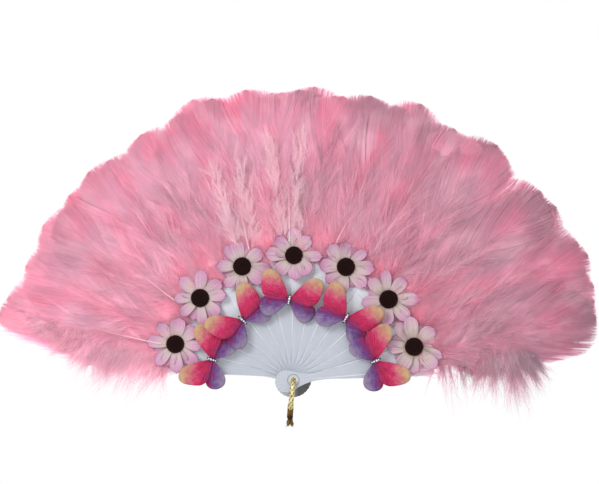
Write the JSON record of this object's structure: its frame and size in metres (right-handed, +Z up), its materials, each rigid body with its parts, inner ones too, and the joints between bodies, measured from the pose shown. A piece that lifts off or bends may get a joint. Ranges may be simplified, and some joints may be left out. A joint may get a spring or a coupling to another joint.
{
  "type": "feather fan",
  "caption": "Folding hand fan with white plastic sticks on one eyelet, dyed feathers, fabric daisies and butterflies, and a gold cord loop.",
  "frame": {"origin": "on the pivot axis, in the middle of the stack of sticks, where a hand holds the fan", "axes": "+X to the right along the open fan, +Z up, +Y from the front to the back along the pivot axis"},
  "size_m": [0.4955, 0.0486, 0.2819],
  "materials": {
    "stick_plastic": "smooth moulded white plastic",
    "feather": "dyed feather with downy base",
    "petal_fabric": "pressed fabric, cream to lilac",
    "flock": "dark flocked button",
    "wing_fabric": "printed gauze in yellow, crimson and violet",
    "silver_stone": "silver setting with cut stones",
    "white_lacquer": "white lacquered metal eyelet",
    "gold_cord": "braided metallic gold cord",
    "dark_gold": "dark gold thread binding"
  },
  "bodies": {
    "blade_01": {"front_guard": "stick_plastic", "feathers_01": "feather", "daisy_petals_1": "petal_fabric", "daisy_centre_1": "flock", "butterfly_wings_1": "wing_fabric", "butterfly_body_1": "silver_stone", "pivot_eyelet": "white_lacquer", "pivot_washer": "white_lacquer", "loop_cord": "gold_cord", "loop_tie": "dark_gold"},
    "blade_02": {"stick_02": "stick_plastic", "feathers_02": "feather"},
    "blade_03": {"stick_03": "stick_plastic", "feathers_03": "feather", "daisy_petals_2": "petal_fabric", "daisy_centre_2": "flock"},
    "blade_04": {"stick_04": "stick_plastic", "feathers_04": "feather", "butterfly_wings_2": "wing_fabric", "butterfly_body_2": "silver_stone"},
    "blade_05": {"stick_05": "stick_plastic", "feathers_05": "feather", "daisy_petals_3": "petal_fabric", "daisy_centre_3": "flock"},
    "blade_06": {"stick_06": "stick_plastic", "feathers_06": "feather"},
    "blade_07": {"stick_07": "stick_plastic", "feathers_07": "feather", "daisy_petals_4": "petal_fabric", "daisy_centre_4": "flock"},
    "blade_08": {"stick_08": "stick_plastic", "feathers_08": "feather", "butterfly_wings_3": "wing_fabric", "butterfly_body_3": "silver_stone"},
    "blade_09": {"stick_09": "stick_plastic", "feathers_09": "feather", "daisy_petals_5": "petal_fabric", "daisy_centre_5": "flock"},
    "blade_10": {"stick_10": "stick_plastic", "feathers_10": "feather"},
    "blade_11": {"stick_11": "stick_plastic", "feathers_11": "feather", "daisy_petals_6": "petal_fabric", "daisy_centre_6": "flock", "butterfly_wings_4": "wing_fabric", "butterfly_body_4": "silver_stone"},
    "blade_12": {"stick_12": "stick_plastic", "feathers_12": "feather"},
    "blade_13": {"stick_13": "stick_plastic", "feathers_13": "feather", "daisy_petals_7": "petal_fabric", "daisy_centre_7": "flock"},
    "blade_14": {"back_guard": "stick_plastic", "feathers_14": "feather", "butterfly_wings_5": "wing_fabric", "butterfly_body_5": "silver_stone"}
  },
  "joints": [
    {"name": "fold", "type": "hinge", "parent": "blade_01", "child": "blade_14", "pos_m": [0, 0, 0], "axis": [0, 1, 0], "range_deg": [0, 160.55], "deforming": ["butterfly_wings_5", "butterfly_body_5"]},
    {"name": "fold_13", "type": "hinge", "parent": "blade_01", "child": "blade_13", "pos_m": [0, 0, 0], "axis": [0, 1, 0], "range_deg": [0, 148.2], "deforming": ["daisy_petals_7", "daisy_centre_7"]},
    {"name": "fold_12", "type": "hinge", "parent": "blade_01", "child": "blade_12", "pos_m": [0, 0, 0], "axis": [0, 1, 0], "range_deg": [0, 135.85]},
    {"name": "fold_11", "type": "hinge", "parent": "blade_01", "child": "blade_11", "pos_m": [0, 0, 0], "axis": [0, 1, 0], "range_deg": [0, 123.5], "deforming": ["daisy_petals_6", "daisy_centre_6", "butterfly_wings_4", "butterfly_body_4"]},
    {"name": "fold_10", "type": "hinge", "parent": "blade_01", "child": "blade_10", "pos_m": [0, 0, 0], "axis": [0, 1, 0], "range_deg": [0, 111.15]},
    {"name": "fold_09", "type": "hinge", "parent": "blade_01", "child": "blade_09", "pos_m": [0, 0, 0], "axis": [0, 1, 0], "range_deg": [0, 98.8], "deforming": ["daisy_petals_5", "daisy_centre_5"]},
    {"name": "fold_08", "type": "hinge", "parent": "blade_01", "child": "blade_08", "pos_m": [0, 0, 0], "axis": [0, 1, 0], "range_deg": [0, 86.45], "deforming": ["butterfly_wings_3", "butterfly_body_3"]},
    {"name": "fold_07", "type": "hinge", "parent": "blade_01", "child": "blade_07", "pos_m": [0, 0, 0], "axis": [0, 1, 0], "range_deg": [0, 74.1], "deforming": ["daisy_petals_4", "daisy_centre_4"]},
    {"name": "fold_06", "type": "hinge", "parent": "blade_01", "child": "blade_06", "pos_m": [0, 0, 0], "axis": [0, 1, 0], "range_deg": [0, 61.75]},
    {"name": "fold_05", "type": "hinge", "parent": "blade_01", "child": "blade_05", "pos_m": [0, 0, 0], "axis": [0, 1, 0], "range_deg": [0, 49.4], "deforming": ["daisy_petals_3", "daisy_centre_3"]},
    {"name": "fold_04", "type": "hinge", "parent": "blade_01", "child": "blade_04", "pos_m": [0, 0, 0], "axis": [0, 1, 0], "range_deg": [0, 37.05], "deforming": ["butterfly_wings_2", "butterfly_body_2"]},
    {"name": "fold_03", "type": "hinge", "parent": "blade_01", "child": "blade_03", "pos_m": [0, 0, 0], "axis": [0, 1, 0], "range_deg": [0, 24.7], "deforming": ["daisy_petals_2", "daisy_centre_2"]},
    {"name": "fold_02", "type": "hinge", "parent": "blade_01", "child": "blade_02", "pos_m": [0, 0, 0], "axis": [0, 1, 0], "range_deg": [0, 12.35]}
  ],
  "couplings": [
    {"joint": "fold_13", "follows": "fold", "ratio": 0.92308},
    {"joint": "fold_12", "follows": "fold", "ratio": 0.84615},
    {"joint": "fold_11", "follows": "fold", "ratio": 0.76923},
    {"joint": "fold_10", "follows": "fold", "ratio": 0.69231},
    {"joint": "fold_09", "follows": "fold", "ratio": 0.61538},
    {"joint": "fold_08", "follows": "fold", "ratio": 0.53846},
    {"joint": "fold_07", "follows": "fold", "ratio": 0.46154},
    {"joint": "fold_06", "follows": "fold", "ratio": 0.38462},
    {"joint": "fold_05", "follows": "fold", "ratio": 0.30769},
    {"joint": "fold_04", "follows": "fold", "ratio": 0.23077},
    {"joint": "fold_03", "follows": "fold", "ratio": 0.15385},
    {"joint": "fold_02", "follows": "fold", "ratio": 0.076923}
  ]
}
